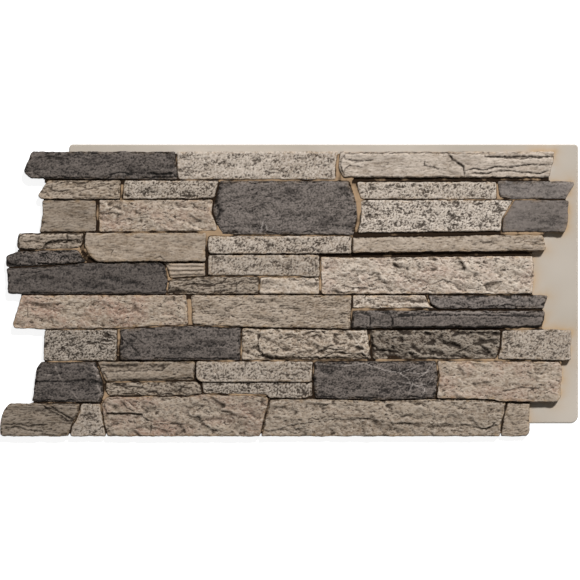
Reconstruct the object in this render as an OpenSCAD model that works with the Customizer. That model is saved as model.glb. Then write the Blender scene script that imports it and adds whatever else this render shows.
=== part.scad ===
// Interlocking faux ledge-stone wall panel, moulded in one piece of rigid foam.
// It lies on its flat back with the stone face up. X runs along the courses, Y up the wall, Z out of it.

/* [Panel] */
// Width from the left stone tips to the right edge of the flange, mm
panel_w = 1245; // [1100:1:1400]
// Height from the foot of the bottom course to the top edge of the flange, mm
panel_h = 628; // [560:1:700]
// Thickness from the back to the highest stone, mm
panel_t = 32; // [30:0.5:40]

/* [Flange] */
// Thickness of the nailing flange, mm
flange_t = 7; // [5:0.5:9]
// Strip of flange that shows above the top course, mm
top_strip = 17; // [12:1:25]
// Strip of flange that shows beside the longest stone on the right, mm
side_strip = 10; // [6:1:25]
// How far the left stone tips reach past the flange, mm
finger_reach = 148; // [130:1:170]
// How far the bottom course hangs below the flange, mm
bottom_drop = 27; // [20:1:32]
// Radius of the flange's two top corners, mm
top_corner_r = 8; // [4:1:20]
// Radius of the flange's two bottom corners, mm
bottom_corner_r = 17; // [6:1:25]
// Radius of the flange's front edge, mm
edge_r = 3; // [1:0.5:4]
// Clearance between the overhanging stones and a neighbour's flange, mm
lap_gap = 1; // [0.5:0.1:2]

/* [Stones] */
// Width of the joints between stones, mm
joint_w = 4; // [2:0.5:6]
// Height of the joint floor above the back, mm
joint_floor = 13.5; // [11:0.5:15]
// Height of the lowest stone face above the back, mm
low_face = 19; // [18:0.5:24]
// Width of the broken edge around each stone, mm
arris = 3; // [1:0.5:4]
// Depth of the chips along a stone's edge, mm
chip = 1.2; // [0:0.1:1.5]
// Rise of the hand-cleft crown over a stone's face, mm
cleft = 2.5; // [0.5:0.5:4]

/* [Hidden] */

// Underside of the stones that lap over the next panel
lap_z = flange_t + lap_gap;
// Highest face that still leaves room for its crown
high_face = panel_t - cleft;
// Area that the stones cover, and the area that their joint lines below are drawn on
face_size = [panel_w - side_strip, panel_h - top_strip];
drawn_size = [1235, 611];
// Segments of a full turn of a flange corner and of a rounded notch in the joint floor, and steps of the
// flange's front edge
corner_fn = 32;
edge_steps = 4;
bed_fn = 16;
// Longest straight run of a stone's edge, length of stone per crown point, and how far those points stray, as
// a share of their cell
edge_pitch = 62;
crown_pitch = 46;
stray = 0.3;

CHARCOAL = "#5a5656";
SPECKLED = "#a89d90";
LEDGE = "#9d9283";
SPLIT = "#a7988a";
MORTAR = "#b39a72";
FLANGE = "#bdb3a5";

// One row for each stone: finish, face level at its top and bottom edge from 0 (low) to 1 (high), and the joint
// lines around it, counterclockwise in mm from the panel's lower left. Its seed is its place in the list.
STONES = [
    // course A, at the top
    [CHARCOAL, 0.6, 0.7, [[66, 551], [383, 549], [379, 611], [70, 611], [51, 566]]],
    [SPECKLED, 0.4, 0.4, [[383, 549], [724, 549], [722, 575], [728, 611], [379, 611]]],
    [LEDGE, 0.4, 0.6, [[737, 551], [1181, 551], [1194, 611], [730, 611], [726, 575]]],
    // course B
    [LEDGE, 0.3, 0.6, [[87, 507], [262, 507], [265, 549], [103, 549], [81, 517]]],
    [SPECKLED, 0.4, 0.5, [[262, 507], [463, 509], [473, 549], [265, 549]]],
    [SPECKLED, 0.3, 0.5, [[774, 507], [1068, 507], [1067, 548], [765, 548]]],
    [CHARCOAL, 0.4, 0.6, [[1072, 512], [1100, 507], [1215, 507], [1235, 541], [1232, 546], [1205, 548],
        [1067, 548]]],
    // course C
    [LEDGE, 0.3, 0.3, [[85, 437], [211, 437], [211, 507], [92, 507], [93, 480]]],
    [SPLIT, 0.3, 0.6, [[211, 437], [467, 439], [469, 448], [457, 480], [461, 508], [211, 507]]],
    [CHARCOAL, 0.8, 0.7, [[479, 432], [761, 430], [769, 473], [766, 505], [757, 530], [749, 548], [474, 548],
        [461, 505], [458, 484], [465, 458]]],
    [SPECKLED, 0.5, 0.9, [[767, 434], [1076, 438], [1078, 464], [1104, 507], [775, 507], [774, 460]]],
    [CHARCOAL, 0.6, 0.7, [[1077, 437], [1214, 437], [1221, 458], [1222, 507], [1105, 507], [1079, 466]]],
    // course D, left end
    [LEDGE, 0.1, 0.3, [[42, 398], [105, 400], [172, 402], [180, 412], [183, 437], [40, 437], [37, 411]]],
    [CHARCOAL, 0.4, 0.6, [[15, 362], [107, 366], [190, 373], [168, 401], [106, 400], [40, 397], [13, 388]]],
    [CHARCOAL, 0.3, 0.6, [[18, 304], [359, 304], [363, 333], [356, 366], [345, 374], [192, 373], [107, 366],
        [15, 361]]],
    [LEDGE, 0.6, 0.9, [[211, 373], [443, 374], [445, 437], [184, 437], [182, 408], [193, 384]]],
    [LEDGE, 0.0, 0.0, [[366, 338], [444, 342], [443, 374], [346, 374], [357, 366]]],
    [SPLIT, 0.4, 0.6, [[359, 304], [556, 304], [559, 343], [445, 343], [366, 338], [361, 322]]],
    [SPLIT, 0.4, 0.5, [[556, 304], [688, 304], [688, 341], [559, 343]]],
    // course D, middle and right
    [SPECKLED, 0.6, 0.7, [[449, 390], [757, 391], [757, 430], [449, 430], [445, 410]]],
    [SPECKLED, 0.3, 0.5, [[446, 344], [580, 344], [688, 341], [688, 390], [448, 390]]],
    [LEDGE, 0.6, 1, [[757, 391], [1170, 395], [1174, 402], [1167, 435], [1076, 435], [757, 430]]],
    [SPLIT, 0.1, 0.6, [[689, 304], [1144, 305], [1149, 345], [1146, 391], [757, 388], [689, 388]]],
    // course E
    [SPLIT, 0.4, 0.5, [[31, 231], [90, 229], [256, 231], [324, 235], [410, 239], [406, 304], [48, 304], [28, 242]]],
    [LEDGE, 0.3, 0.5, [[411, 239], [518, 234], [754, 230], [757, 304], [407, 304]]],
    [SPLIT, 0.3, 0.4, [[757, 274], [938, 274], [923, 284], [915, 304], [757, 304]]],
    [CHARCOAL, 0.4, 0.7, [[940, 273], [1168, 273], [1180, 304], [917, 304], [925, 284]]],
    [CHARCOAL, 0.4, 0.5, [[754, 230], [795, 231], [1163, 233], [1168, 242], [1173, 271], [757, 271]]],
    // course F
    [SPECKLED, 0.4, 0.4, [[95, 161], [255, 162], [256, 231], [98, 230], [94, 193]]],
    [CHARCOAL, 0.5, 0.6, [[256, 163], [518, 163], [519, 234], [411, 239], [324, 235], [257, 231]]],
    [SPLIT, 0.1, 0.2, [[519, 163], [799, 165], [791, 231], [754, 229], [519, 233]]],
    [SPLIT, 0.0, 0.5, [[800, 165], [1066, 166], [1075, 195], [1077, 230], [792, 229]]],
    [SPECKLED, 0.4, 0.7, [[1068, 166], [1149, 163], [1227, 162], [1228, 230], [1164, 231], [1078, 228],
        [1076, 196]]],
    // course G
    [CHARCOAL, 0.4, 0.6, [[69, 74], [216, 73], [226, 90], [221, 125], [207, 162], [88, 161], [80, 148]]],
    [LEDGE, 0.1, 0.2, [[228, 117], [323, 118], [420, 121], [422, 162], [209, 162], [222, 128]]],
    [LEDGE, 0.4, 0.5, [[236, 87], [410, 87], [437, 92], [434, 112], [421, 120], [323, 118], [228, 117], [227, 97]]],
    [SPECKLED, 0.6, 0.8, [[430, 117], [672, 116], [674, 162], [422, 162], [421, 125]]],
    [SPECKLED, 0.2, 0.4, [[437, 92], [570, 90], [580, 82], [650, 81], [673, 86], [673, 116], [433, 116]]],
    [CHARCOAL, 0.7, 0.6, [[676, 82], [818, 78], [936, 82], [942, 128], [937, 163], [676, 162], [673, 128]]],
    [SPLIT, 0.5, 0.8, [[937, 82], [1056, 79], [1078, 75], [1196, 73], [1205, 84], [1208, 150], [1200, 162],
        [938, 163], [943, 128]]],
    // course H, at the bottom
    [LEDGE, 0.4, 0.5, [[5, 0], [150, 0], [155, 24], [171, 50], [175, 73], [22, 73], [9, 60], [0, 20], [0, 8]]],
    [SPECKLED, 0.3, 0.4, [[151, 0], [231, 0], [222, 35], [218, 72], [176, 73], [171, 50], [156, 24]]],
    [SPLIT, 0.4, 0.5, [[231, 0], [560, 0], [579, 80], [572, 88], [437, 92], [410, 87], [236, 87], [226, 82],
        [219, 68], [223, 36]]],
    [SPLIT, 0.2, 0.3, [[561, 0], [1074, 0], [1079, 32], [1090, 75], [1056, 79], [936, 82], [818, 78], [676, 82],
        [650, 81], [580, 81]]],
    [LEDGE, 0.0, 0.0, [[1075, 0], [1133, 0], [1139, 8], [1139, 73], [1090, 75], [1080, 32]]],
];

// Raised layers that stand on a stone above, in the same form but drawn on their own rim
LAYERS = [
    // the right stone of course A, under its split top edge
    [LEDGE, 0.8, 0.9, [[741, 555], [1180, 555], [1189, 598], [1119, 593], [1044, 598], [1029, 604], [925, 606],
        [741, 605], [733, 587], [735, 569]]],
    // the left stone of course D and its three thin slabs
    [LEDGE, 0.6, 0.6, [[44, 402], [91, 401], [99, 412], [110, 418], [177, 418], [178, 432], [145, 433], [43, 433]]],
    [LEDGE, 0.3, 0.3, [[366, 365], [440, 365], [440, 371], [358, 371]]],
    [LEDGE, 0.4, 0.4, [[364, 356], [440, 356], [440, 362], [363, 362]]],
    [LEDGE, 0.3, 0.3, [[366, 346], [440, 347], [440, 353], [366, 353]]],
    // the long charcoal stone of course E, broken in two
    [CHARCOAL, 0.8, 0.9, [[758, 233], [793, 234], [796, 258], [780, 263], [760, 263]]],
    [CHARCOAL, 0.8, 1, [[842, 235], [947, 236], [1033, 235], [1162, 237], [1166, 255], [1076, 258], [947, 260],
        [888, 258], [844, 255]]],
    // the lumpy stone of course F
    [SPLIT, 0.5, 0.8, [[562, 178], [590, 170], [794, 170], [792, 202], [788, 227], [709, 229], [562, 230],
        [555, 204]]],
    // the charcoal block and the ledge stone of course G
    [CHARCOAL, 0.8, 0.8, [[79, 120], [125, 118], [179, 124], [217, 120], [215, 131], [207, 152], [177, 157],
        [95, 157], [86, 144]]],
    [LEDGE, 0.5, 0.6, [[233, 122], [298, 123], [416, 126], [417, 157], [367, 157], [352, 142], [277, 139],
        [224, 139], [230, 130]]],
    // the layered stone, the split stone and the long stone of course H
    [LEDGE, 0.7, 0.7, [[152, 34], [166, 51], [170, 68], [97, 68], [104, 60], [128, 49]]],
    [SPLIT, 0.7, 0.8, [[229, 52], [300, 50], [295, 58], [270, 81], [236, 81], [227, 70]]],
    [SPLIT, 0.5, 0.6, [[568, 14], [594, 14], [622, 25], [666, 31], [720, 38], [784, 40], [838, 31], [892, 29],
        [990, 27], [1022, 23], [1042, 18], [1059, 22], [1074, 30], [1084, 57], [1084, 70], [1056, 74], [936, 77],
        [818, 73], [676, 77], [583, 76], [575, 42]]],
];

// A drawn outline, stretched to the face and half a joint further out, so that the stones end on the panel's edges
function placed(outline) = [for (p = outline)
    [for (k = [0, 1]) p[k] * (face_size[k] + joint_w) / drawn_size[k] - joint_w / 2]];

function face_z(level) = low_face + level * (high_face - low_face);
function normal(a, b) = [a[1] - b[1], b[0] - a[0]] / norm(b - a);

// The outline moved inwards by d, or by d[i] at point i
function inset(ring, d) = let (n = len(ring)) [for (i = [0:n - 1])
    let (u = normal(ring[(i + n - 1) % n], ring[i]), v = normal(ring[i], ring[(i + 1) % n]))
    ring[i] + (u + v) * (is_list(d) ? d[i] : d) / (1 + u * v)];

// The outline with its long runs split, each new point a chip's depth inwards or less
function chipped(ring, seed) =
    let (n = len(ring),
        runs = [for (i = [0:n - 1]) ceil(norm(ring[(i + 1) % n] - ring[i]) / edge_pitch)],
        points = [for (i = [0:n - 1], j = [0:runs[i] - 1])
            ring[i] + (ring[(i + 1) % n] - ring[i]) * j / runs[i]],
        corner = [for (i = [0:n - 1], j = [0:runs[i] - 1]) j == 0],
        depth = rands(0, chip, len(points), seed))
    inset(points, [for (i = [0:len(points) - 1]) corner[i] ? 0 : depth[i]]);

// Lowest and highest y of the outline at one x
function span(ring, x) =
    let (n = len(ring), ys = [for (i = [0:n - 1])
        let (a = ring[i], b = ring[(i + 1) % n])
        if ((a[0] - x) * (b[0] - x) <= 0 && a[0] != b[0]) a[1] + (b[1] - a[1]) * (x - a[0]) / (b[0] - a[0])])
    [min(ys), max(ys)];

// A closed block on an outline: upright sides, a broken edge, and a face of flat facets that climb to crown points
// along its middle. Its face is tilted from one level at the top edge to another at the bottom edge.
module block(outline, foot, level_top, level_bottom, seed) {
    rim = chipped(outline, seed);
    face = inset(rim, arris);
    n = len(rim);
    xs = [for (p = face) p[0]];
    ys = [for (p = face) p[1]];
    x = [min(xs), max(xs)];
    y = [min(ys), max(ys)];
    m = max(1, round((x[1] - x[0]) / crown_pitch));
    along = rands(-stray, stray, m, seed + 100);
    across = rands(0.5 - stray, 0.5 + stray, m, seed + 200);
    rise = rands(0.2, 1, m, seed + 300);
    drop = rands(0, chip, n, seed + 400);
    z = [for (py = ys) face_z(level_bottom) + (face_z(level_top) - face_z(level_bottom)) * (py - y[0]) / (y[1] - y[0])];
    crown = [for (i = [0:m - 1])
        let (px = x[0] + (x[1] - x[0]) * (i + 0.5 + along[i]) / m,
            s = span(face, px),
            py = s[0] + (s[1] - s[0]) * across[i],
            level = level_bottom + (level_top - level_bottom) * (py - y[0]) / (y[1] - y[0]))
        [px, py, face_z(level) + cleft * rise[i] / max(rise)]];
    cell = [for (px = xs) min(m - 1, floor((px - x[0]) / (x[1] - x[0]) * m))];
    points = concat(
        [for (p = rim) [p[0], p[1], foot]],
        [for (i = [0:n - 1]) [rim[i][0], rim[i][1], z[i] - arris - drop[i]]],
        [for (i = [0:n - 1]) [face[i][0], face[i][1], z[i]]],
        crown,
        [for (p = crown) [p[0], p[1], foot]]);
    faces = [for (i = [0:n - 1])
        let (j = (i + 1) % n, a = cell[i], b = cell[j], top = 3 * n, low = 3 * n + m, step = b > a ? 1 : -1)
        each concat(
            [[i, n + i, n + j, j], [n + i, 2 * n + i, 2 * n + j], [n + i, 2 * n + j, n + j],
                [2 * n + i, top + a, 2 * n + j], [i, j, low + a]],
            a == b ? [] : [for (k = [a:step:b - step])
                each [[2 * n + j, top + k, top + k + step], [j, low + k + step, low + k]]])];
    polyhedron(points, faces);
}

// The joint floor with all stones and their raised layers; it starts inside the flange, and hangs free past it on
// the left and at the bottom, where it clears the flanges of the next panels
module stone_face() {
    difference() {
        union() {
            color(MORTAR) linear_extrude(joint_floor)
                offset(r = -1.5 * joint_w, $fn = bed_fn) offset(delta = joint_w / 2)
                    for (s = STONES) polygon(placed(s[3]));
            for (i = [0:len(STONES) - 1]) {
                s = STONES[i];
                color(s[0]) block(inset(placed(s[3]), joint_w / 2), flange_t / 2, s[1], s[2], i);
            }
            for (i = [0:len(LAYERS) - 1]) {
                s = LAYERS[i];
                color(s[0]) block(placed(s[3]), lap_z + 2, s[1], s[2], len(STONES) + i);
            }
        }
        translate([-panel_w, -1, -1]) cube([panel_w + finger_reach, panel_h, lap_z + 1]);
        translate([-1, -panel_h, -1]) cube([panel_w, panel_h + bottom_drop, lap_z + 1]);
    }
}

module flange_plan(inset) {
    hull() for (x = [0, 1], y = [0, 1]) {
        r = y == 1 ? top_corner_r : bottom_corner_r;
        translate([x == 0 ? finger_reach + r : panel_w - r, y == 0 ? bottom_drop + r : panel_h - r])
            circle(r - inset, $fn = corner_fn);
    }
}

module flange() {
    color(FLANGE) hull() {
        linear_extrude(flange_t - edge_r) flange_plan(0);
        for (i = [1:edge_steps]) {
            turn = 90 * i / edge_steps;
            translate([0, 0, flange_t - edge_r]) linear_extrude(edge_r * sin(turn))
                flange_plan(edge_r * (1 - cos(turn)));
        }
    }
}

module panel() {
    translate([-panel_w / 2, -panel_h / 2, 0]) {
        flange();
        stone_face();
    }
}

panel();
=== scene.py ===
import math
import bpy
import numpy as np
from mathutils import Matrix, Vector


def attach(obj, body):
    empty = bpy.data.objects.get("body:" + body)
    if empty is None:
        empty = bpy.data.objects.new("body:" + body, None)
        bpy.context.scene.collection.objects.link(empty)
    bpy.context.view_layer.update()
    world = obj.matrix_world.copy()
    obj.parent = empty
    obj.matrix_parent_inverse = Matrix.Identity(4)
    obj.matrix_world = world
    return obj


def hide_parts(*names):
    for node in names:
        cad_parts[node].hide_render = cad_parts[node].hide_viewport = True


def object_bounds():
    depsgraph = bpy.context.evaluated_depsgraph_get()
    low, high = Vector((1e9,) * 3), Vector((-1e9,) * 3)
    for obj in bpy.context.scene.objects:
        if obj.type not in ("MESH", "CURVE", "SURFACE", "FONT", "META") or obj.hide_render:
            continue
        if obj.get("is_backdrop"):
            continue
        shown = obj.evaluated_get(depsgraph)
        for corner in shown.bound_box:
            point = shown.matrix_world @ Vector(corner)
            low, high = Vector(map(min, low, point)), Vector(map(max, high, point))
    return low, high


# Looks of a faux ledge-stone wall panel: rigid foam moulded in one piece, with a sprayed, washed and
# rubbed stone face on a plain nailing flange. It lies on its back with the stone face up: X along the
# courses, Y up the wall.
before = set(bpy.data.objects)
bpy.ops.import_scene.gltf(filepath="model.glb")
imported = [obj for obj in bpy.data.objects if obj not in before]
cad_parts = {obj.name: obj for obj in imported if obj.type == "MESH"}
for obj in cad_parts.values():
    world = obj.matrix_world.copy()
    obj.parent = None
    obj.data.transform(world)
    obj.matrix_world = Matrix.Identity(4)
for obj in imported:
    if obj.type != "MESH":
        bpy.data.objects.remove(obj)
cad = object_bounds()

# The nailing flange is the plain sheet that the stone face grows out of: a strip along the top and right
# that the screws go through and the next panels lap over. It is moulded with soft front edges and round
# corners, and it keeps the panel's pale base coat.
PANEL = (np.array(cad[1]) - np.array(cad[0]))[:2] * 1000
FLANGE_T = 7.0
REACH = 148.0  # the left stones, past the flange
DROP = 27.0  # the bottom course, below the flange
TOP_CORNER_R, BOTTOM_CORNER_R = 8.0, 17.0
EDGE_R = 3.0
EDGE_ROWS = np.array([0, 0.1, 0.27, 0.5, 0.73, 1.0])  # shares of EDGE_R
FLANGE_PITCH = 3.5
CREASE_ANGLE = math.radians(70)


def linear(colour):
    """Linear RGBA of an sRGB hex colour."""
    parts = [int(colour[i : i + 2], 16) / 255 for i in (1, 3, 5)]
    return [c / 12.92 if c <= 0.04045 else ((c + 0.055) / 1.055) ** 2.4 for c in parts] + [1.0]


def add(tree, kind, inputs=None, **settings):
    """Adds a shader node and gives back its outputs. An input takes a link or a value, by its socket's
    name or number."""
    node = tree.nodes.new("ShaderNode" + kind)
    for key, value in settings.items():
        setattr(node, key, value)
    for key, value in (inputs or {}).items():
        if isinstance(value, bpy.types.NodeSocket):
            tree.links.new(value, node.inputs[key])
        else:
            node.inputs[key].default_value = value
    return node.outputs


def relief_mesh(name, x, y, z, foot, attributes):
    """A closed mesh over a grid of points in mm: the relief on top, walls down to the foot, and a flat
    underside."""
    m, n = x.shape
    top = np.stack([x - PANEL[0] / 2, y - PANEL[1] / 2, z], axis=-1).reshape(-1, 3) / 1000
    index = np.arange(m * n).reshape(m, n)
    ring = np.concatenate([index[:, 0], index[-1, 1:], index[-2::-1, -1], index[0, -2:0:-1]])
    low = top[ring].copy()
    low[:, 2] = foot.reshape(-1)[ring] / 1000
    quads = np.stack([index[:-1, :-1], index[1:, :-1], index[1:, 1:], index[:-1, 1:]], -1).reshape(-1, 4)
    first = m * n
    k = np.arange(len(ring))
    after = (k + 1) % len(ring)
    faces = np.concatenate([quads, np.stack([ring, first + k, first + after, ring[after]], -1)])
    mesh = bpy.data.meshes.new(name)
    mesh.vertices.add(first + len(ring))
    mesh.vertices.foreach_set("co", np.concatenate([top, low]).ravel())
    corners = np.concatenate([faces.ravel(), first + k[::-1]])
    mesh.loops.add(len(corners))
    mesh.loops.foreach_set("vertex_index", corners.astype(np.int32))
    mesh.polygons.add(len(faces) + 1)
    mesh.polygons.foreach_set("loop_start", (4 * np.arange(len(faces) + 1)).astype(np.int32))
    mesh.update(calc_edges=True)
    mesh.validate()
    for key, values in attributes.items():
        layer = mesh.attributes.new(key, "FLOAT", "POINT")
        flat = np.broadcast_to(values, x.shape).reshape(-1)
        layer.data.foreach_set("value", np.concatenate([flat, flat[ring]]).astype(np.float32))
    mesh.shade_smooth()
    mesh.set_sharp_from_angle(angle=CREASE_ANGLE)
    piece = bpy.data.objects.new(name, mesh)
    bpy.context.scene.collection.objects.link(piece)
    return piece


rows = []
for low, high in zip((REACH, DROP), PANEL):
    edge = EDGE_R * EDGE_ROWS
    middle = np.linspace(low + EDGE_R + 1, high - EDGE_R - 1, int((high - low) / FLANGE_PITCH))
    rows.append(np.concatenate([low + edge, middle, high - edge[::-1]]))
x, y = np.meshgrid(*rows, indexing="ij")
corner_r = np.where(y > PANEL[1] / 2, TOP_CORNER_R, BOTTOM_CORNER_R)
cx = np.clip(x, REACH + corner_r, PANEL[0] - corner_r)
cy = np.clip(y, DROP + corner_r, PANEL[1] - corner_r)
dx, dy = x - cx, y - cy
square = np.maximum(np.abs(dx), np.abs(dy)) / np.maximum(np.hypot(dx, dy), 1e-9)
x, y = cx + dx * square, cy + dy * square
edge = np.minimum(np.minimum(x - REACH, PANEL[0] - x), np.minimum(y - DROP, PANEL[1] - y))
edge = np.where((dx != 0) & (dy != 0), corner_r - np.hypot(x - cx, y - cy), edge)
t = 1 - np.clip(edge / EDGE_R, 0, 1)
z = FLANGE_T - EDGE_R * (1 - np.sqrt(1 - t * t))
flange = relief_mesh("nailing_flange", x, y, z, np.zeros(x.shape), {})

# Satin polyurethane base coat: even, with faint clouds from the spray gun and a fine moulded grain.
material = bpy.data.materials.new("satin_base_coat")
material.use_nodes = True
tree = material.node_tree
place = add(tree, "TexCoord")["Object"]
cloud = add(tree, "TexNoise", {"Vector": place, "Scale": 5.0, "Detail": 2.0})["Fac"]
cloud = add(tree, "MapRange", {"Value": cloud, "From Min": 0.3, "From Max": 0.7})[0]
colour = add(tree, "Mix", {0: cloud, 6: linear("#bfb5a9"), 7: linear("#b0a699")}, data_type="RGBA")[2]
halo = add(tree, "Attribute", attribute_name="halo")["Fac"]
patch = add(tree, "TexNoise", {"Vector": place, "Scale": 22.0, "Detail": 3.0})["Fac"]
patch = add(tree, "MapRange", {"Value": patch, "From Min": 0.3, "From Max": 0.6, "To Max": 0.9})[0]
halo = add(tree, "Math", {0: halo, 1: patch}, operation="MULTIPLY")[0]
colour = add(tree, "Mix", {0: halo, 6: colour, 7: linear("#b4905f")}, data_type="RGBA")[2]
grain = add(tree, "TexNoise", {"Vector": place, "Scale": 600.0, "Detail": 2.0})["Fac"]
bump = add(tree, "Bump", {"Height": grain, "Strength": 0.25, "Distance": 0.0003})[0]
shader = tree.nodes["Principled BSDF"]
tree.links.new(colour, shader.inputs["Base Color"])
tree.links.new(bump, shader.inputs["Normal"])
shader.inputs["Roughness"].default_value = 0.6
shader.inputs["Specular IOR Level"].default_value = 0.3
flange.data.materials.append(material)
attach(flange, "root")
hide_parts("panel")


# Charcoal stones are moulded from cleft slate: soft planes, thin sheets broken off near the rim and a
# leathery tooth. Like all the stones they are one moulding with the flange, each with its outline on the
# joint lines, a face tilted between two levels, raised layers where it is split, and cracks.
FACE = PANEL - np.array([10.0, 17.0])
THICK = 32.0
JOINT = 4.0
EDGE_GAP = 1.1  # from the joint line to the stone
CORNER_CUT = 4.0
LAP_Z = 8.0  # underside of the stones that lap over the next panels
LOW_FACE, HIGH_FACE = 19.0, 29.5  # levels 0 and 1
PILLOW_W, PILLOW_H = 11.0, 1.4
BROKEN_EDGE_W, BROKEN_EDGE_H = 1.9, 3.2
RIM_WANDER = 2.6
LAYER_EDGE_W = 1.5
SCAR_H = 0.9
PITCH = 1.48
OUTLINES = []


def gradient_noise(x, y, seed):
    """Smooth noise of about -1 to 1 with one wave per unit, so x / 20 gives waves 20 mm long."""
    angle = np.random.default_rng(seed).uniform(0, 2 * math.pi, (128, 128))
    gx, gy = np.cos(angle), np.sin(angle)
    i, j = np.floor(x).astype(int), np.floor(y).astype(int)
    fx, fy = x - i, y - j
    u, v = fx**3 * (fx * (fx * 6 - 15) + 10), fy**3 * (fy * (fy * 6 - 15) + 10)

    def corner(di, dj):
        a, b = (i + di) % 128, (j + dj) % 128
        return gx[a, b] * (fx - di) + gy[a, b] * (fy - dj)

    low = corner(0, 0) * (1 - u) + corner(1, 0) * u
    high = corner(0, 1) * (1 - u) + corner(1, 1) * u
    return 1.5 * (low * (1 - v) + high * v)


def fractal(x, y, seed, octaves=4, gain=0.5, ridged=False):
    """Noise summed over octaves, each twice as fine and gain as high; ridged noise has sharp crests."""
    total, size, reach = 0.0, 1.0, 0.0
    for k in range(octaves):
        wave = gradient_noise(x * 2**k, y * 2**k, seed + 31 * k)
        total = total + size * (1 - 2 * np.abs(wave) if ridged else wave)
        reach += size
        size *= gain
    return total / reach


def facets(x, y, long, high, slope, lift, seed):
    """Broken planes about long by high mm in size: a point takes the plane of its nearest seed point,
    tilted by up to slope and raised by up to lift mm."""
    rng = np.random.default_rng(seed)
    px, py = rng.uniform(0.1, 0.9, (2, 64, 64))
    tilt_x, tilt_y, raised = rng.uniform(-1, 1, (3, 64, 64))
    i, j = np.floor(x / long).astype(int), np.floor(y / high).astype(int)
    best = np.full(x.shape, 9.0)
    height = np.zeros(x.shape)
    for di in (-1, 0, 1):
        for dj in (-1, 0, 1):
            a, b = (i + di) % 64, (j + dj) % 64
            dx, dy = x - long * (i + di + px[a, b]), y - high * (j + dj + py[a, b])
            far = np.hypot(dx / long, dy / high)
            plane = lift * raised[a, b] + slope * (0.6 * tilt_x[a, b] * dx + tilt_y[a, b] * dy)
            height = np.where(far < best, plane, height)
            best = np.minimum(far, best)
    return height


def step(low, high, value):
    """0 below low, 1 above high, and smooth between."""
    t = np.clip((value - low) / (high - low), 0, 1)
    return t * t * (3 - 2 * t)


def bent(x, y, seed, size, reach):
    """The points moved by a smooth random field, so that planes and bands run unevenly."""
    return (x + reach * fractal(x / size, y / size, seed, 3, 0.6),
            y + reach * fractal(x / size, y / size, seed + 500, 3, 0.6))


def blur(z, cells):
    """Box blur of a grid, twice, with its edges held."""
    for _ in range(2):
        for axis in (0, 1):
            pad = [(0, 0), (0, 0)]
            pad[axis] = (cells + 1, cells)
            total = np.cumsum(np.pad(z, pad, mode="edge"), axis=axis)
            n, wide = z.shape[axis], 2 * cells + 1
            z = (np.take(total, range(wide, wide + n), axis) - np.take(total, range(n), axis)) / wide
    return z


def edge_distance(x, y, ring):
    """Distance of each point to a closed outline, positive inside."""
    best = np.full(x.shape, 1e9)
    inside = np.zeros(x.shape, bool)
    for (ax, ay), (bx, by) in zip(ring, np.roll(ring, -1, axis=0)):
        dx, dy = bx - ax, by - ay
        t = np.clip(((x - ax) * dx + (y - ay) * dy) / (dx * dx + dy * dy), 0, 1)
        best = np.minimum(best, np.hypot(x - ax - t * dx, y - ay - t * dy))
        if ay != by:
            inside ^= ((ay > y) != (by > y)) & (x < (bx - ax) * (y - ay) / (by - ay) + ax)
    return np.where(inside, best, -best)


def line_distance(x, y, line):
    """Distance of each point to an open line, whether it lies on its right side, and a taper to its
    ends."""
    best = np.full(x.shape, 1e9)
    right = np.zeros(x.shape)
    for (ax, ay), (bx, by) in zip(line, line[1:]):
        dx, dy = bx - ax, by - ay
        t = np.clip(((x - ax) * dx + (y - ay) * dy) / (dx * dx + dy * dy), 0, 1)
        far = np.hypot(x - ax - t * dx, y - ay - t * dy)
        right = np.where(far < best, dx * (y - ay) - dy * (x - ax) < 0, right)
        best = np.minimum(best, far)
    ends = np.minimum(np.hypot(x - line[0][0], y - line[0][1]), np.hypot(x - line[-1][0], y - line[-1][1]))
    return best, right, np.clip(0.25 + ends / 14, 0, 1)


def placed(outline):
    """A drawn outline stretched to the face and half a joint further out, as in the part."""
    return np.array(outline, float) * (FACE + JOINT) / FACE - JOINT / 2


def inset(ring, d):
    """A closed outline moved inwards."""
    before, after = np.roll(ring, 1, axis=0), np.roll(ring, -1, axis=0)
    u = (ring - before) / np.linalg.norm(ring - before, axis=1)[:, None]
    v = (after - ring) / np.linalg.norm(after - ring, axis=1)[:, None]
    nu, nv = np.stack([-u[:, 1], u[:, 0]], 1), np.stack([-v[:, 1], v[:, 0]], 1)
    return ring + d * (nu + nv) / (1 + np.sum(nu * nv, axis=1))[:, None]


def softened(ring, cut):
    """A closed outline with each corner rounded off, cut mm from it or less."""
    points = []
    for before, at, after in zip(np.roll(ring, 1, axis=0), ring, np.roll(ring, -1, axis=0)):
        a, b = before - at, after - at
        la, lb = np.linalg.norm(a), np.linalg.norm(b)
        a, b = at + a * min(cut / la, 0.4), at + b * min(cut / lb, 0.4)
        points += [a, 0.25 * a + 0.5 * at + 0.25 * b, b]
    return np.array(points)


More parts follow.
